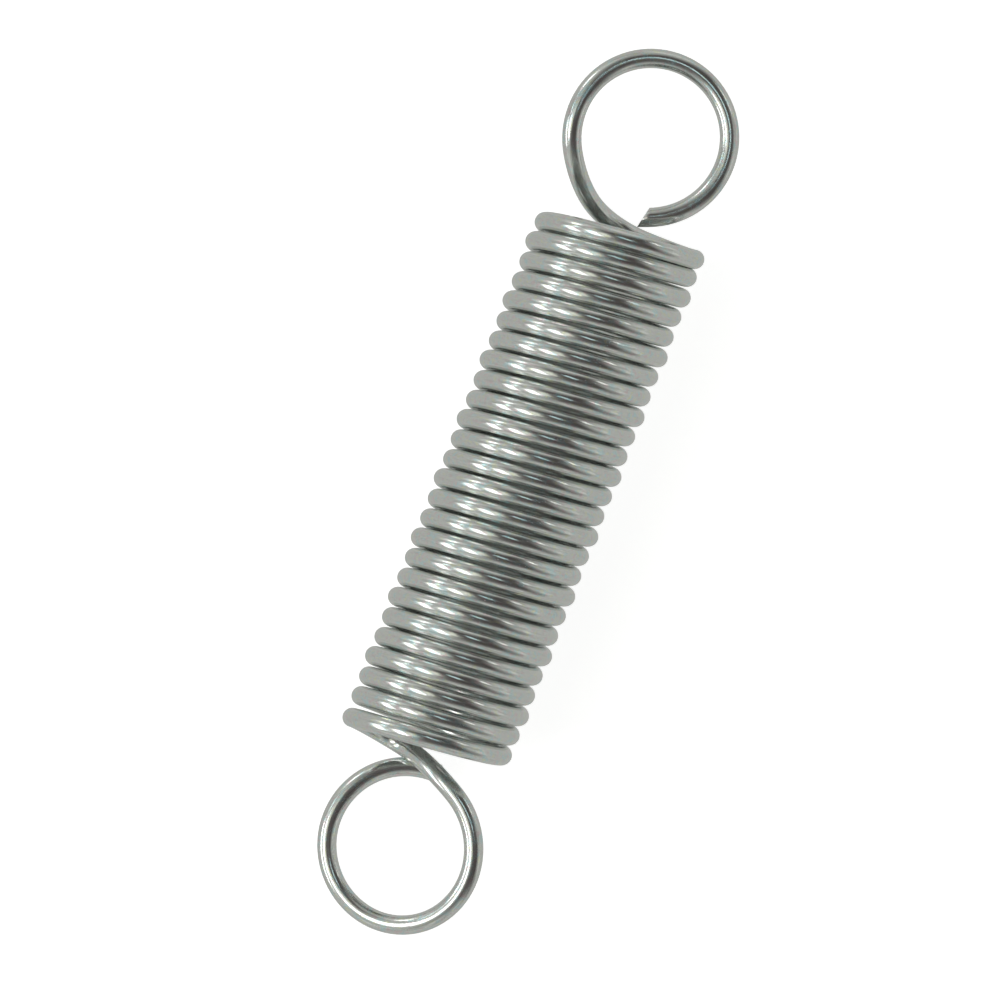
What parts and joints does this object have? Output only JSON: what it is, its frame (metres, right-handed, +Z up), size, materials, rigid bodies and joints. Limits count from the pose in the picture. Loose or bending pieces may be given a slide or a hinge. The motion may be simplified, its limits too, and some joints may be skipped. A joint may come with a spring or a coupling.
{
  "type": "extension spring",
  "caption": "Close-wound extension spring of round zinc-plated steel wire with a full loop at each end, lying on its side.",
  "frame": {"origin": "on the surface that the spring lies on, below the middle of its box", "axes": "+X along the coil axis towards the upper loop, +Z up, away from the surface; both loops lie nearly level"},
  "size_m": [0.1018, 0.0214, 0.0193],
  "materials": {
    "zinc_plated_wire": "bright zinc plate with a clear blue passivate"
  },
  "bodies": {
    "root": {"spring_wire": "zinc_plated_wire"}
  },
  "joints": []
}
